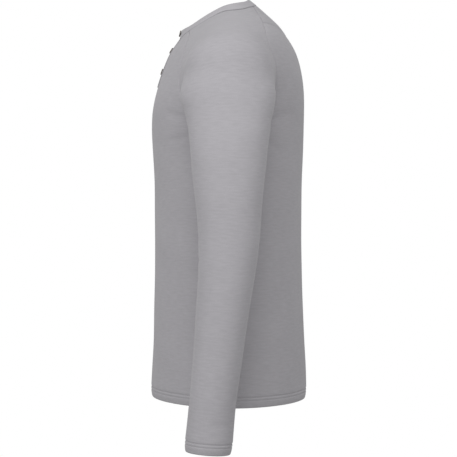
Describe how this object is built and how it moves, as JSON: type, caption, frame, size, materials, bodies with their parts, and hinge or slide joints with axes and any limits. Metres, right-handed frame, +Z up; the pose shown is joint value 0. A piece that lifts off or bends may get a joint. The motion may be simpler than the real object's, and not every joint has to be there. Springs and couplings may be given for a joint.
{
  "type": "henley shirt",
  "caption": "Long-sleeved henley shirt with raglan sleeves, a narrow neckband and a short buttoned placket, hollow as it is worn.",
  "frame": {"origin": "between the shoulders, level with the side of the neck seam, at the middle of the shirt's depth, where the wearer holds it up", "axes": "+Z up, -Y out of the shirt's front, +X to the wearer's left"},
  "size_m": [0.5822, 0.2795, 0.7722],
  "materials": {
    "jersey": "light grey melange cotton jersey, soft and matt",
    "band": "the same jersey, doubled",
    "button": "dark grey-brown, satin"
  },
  "bodies": {
    "root": {"front": "jersey", "back": "jersey", "back_yoke": "jersey", "sleeve_left": "jersey", "sleeve_right": "jersey", "neckband": "band", "placket_over": "band", "placket_under": "band", "button_1": "button", "button_2": "button", "button_3": "button"}
  },
  "joints": []
}
